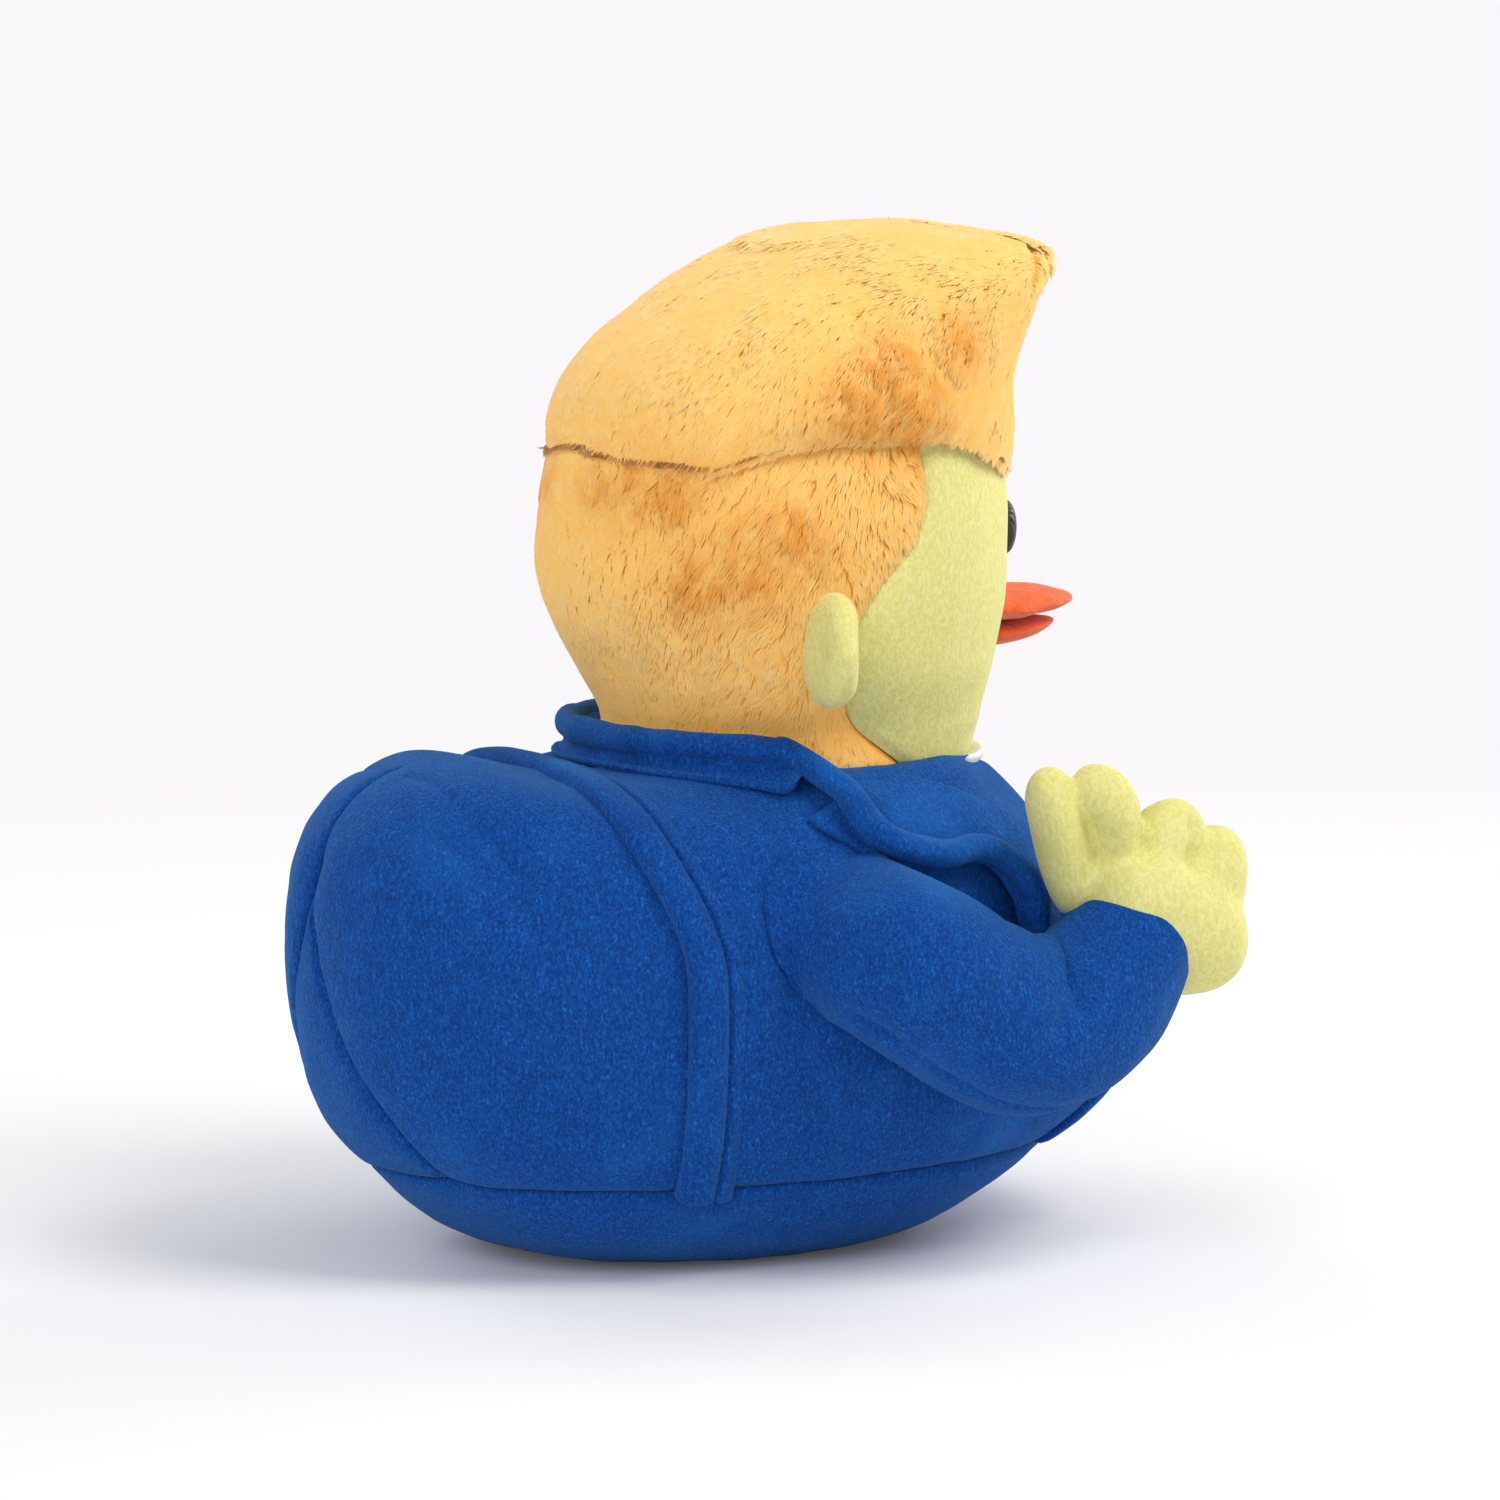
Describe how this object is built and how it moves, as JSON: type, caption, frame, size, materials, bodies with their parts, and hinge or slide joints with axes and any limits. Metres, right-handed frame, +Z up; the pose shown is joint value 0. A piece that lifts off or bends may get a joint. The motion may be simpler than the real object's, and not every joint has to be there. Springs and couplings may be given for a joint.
{
  "type": "plush duck",
  "caption": "Stuffed plush duck in a blue jacket, with swept-up golden fur hair, an orange bill, bent arms with pinched fingers, and a flat belly to sit on.",
  "frame": {"origin": "on the resting plane, under the middle of the body", "axes": "+Z up; the duck faces -Y; +X is the duck's left"},
  "size_m": [0.1756, 0.196, 0.2205],
  "materials": {
    "blue_plush": "short-pile plush",
    "blue_lining": "short-pile plush, darker",
    "yellow_plush": "short-pile plush",
    "golden_fur": "fur with a pile of 4 to 6 mm",
    "orange_felt": "felt",
    "white_cloth": "plain cloth",
    "black_thread": "satin stitch",
    "fibre_fill": "polyester fibre"
  },
  "bodies": {
    "torso": {"torso_stuffing": "fibre_fill", "pellet_bag": "fibre_fill", "belly_panel": "blue_plush", "jacket_hem_band": "blue_plush", "jacket_collar": "blue_plush", "shirt_front": "white_cloth", "shirt_collar": "white_cloth", "waist_front": "blue_lining", "tail_gusset": "blue_plush", "tail_panel_right": "blue_plush", "tail_panel_left": "blue_plush", "jacket_panel_right": "blue_plush", "jacket_panel_left": "blue_plush", "front_edge_band_right": "blue_plush", "front_edge_band_left": "blue_plush", "lapel_right": "blue_plush", "lapel_left": "blue_plush", "armhole_ring_right": "blue_plush", "armhole_ring_left": "blue_plush"},
    "head": {"head_stuffing": "fibre_fill", "face_panel": "yellow_plush", "hair_back_panel": "golden_fur", "hair_top_panel": "golden_fur", "quiff_front_panel": "golden_fur", "crown_stuffing": "fibre_fill", "upper_bill": "orange_felt", "lower_bill": "orange_felt", "ear_right": "yellow_plush", "ear_left": "yellow_plush", "eye_right": "black_thread", "eye_left": "black_thread"},
    "right_arm": {"sleeve_right": "blue_plush", "arm_stuffing_right": "fibre_fill", "hand_right": "yellow_plush", "thumb_right": "yellow_plush", "index_finger_right": "yellow_plush", "middle_finger_right": "yellow_plush", "ring_finger_right": "yellow_plush"},
    "left_arm": {"sleeve_left": "blue_plush", "arm_stuffing_left": "fibre_fill", "hand_left": "yellow_plush", "thumb_left": "yellow_plush", "index_finger_left": "yellow_plush", "middle_finger_left": "yellow_plush", "ring_finger_left": "yellow_plush"}
  },
  "joints": [
    {"name": "neck", "type": "hinge", "parent": "torso", "child": "head", "pos_m": [0, -0.0195, 0.105], "axis": [0, 0, 1], "range_deg": [-12, 12], "stiffness_Nm_per_rad": 1.2},
    {"name": "right_shoulder", "type": "hinge", "parent": "torso", "child": "right_arm", "pos_m": [-0.064, -0.006, 0.076], "axis": [-0.9848, -0.1736, 0], "range_deg": [-12, 12], "stiffness_Nm_per_rad": 0.8},
    {"name": "left_shoulder", "type": "hinge", "parent": "torso", "child": "left_arm", "pos_m": [0.064, -0.006, 0.076], "axis": [0.9848, -0.1736, 0], "range_deg": [-12, 12], "stiffness_Nm_per_rad": 0.8}
  ]
}
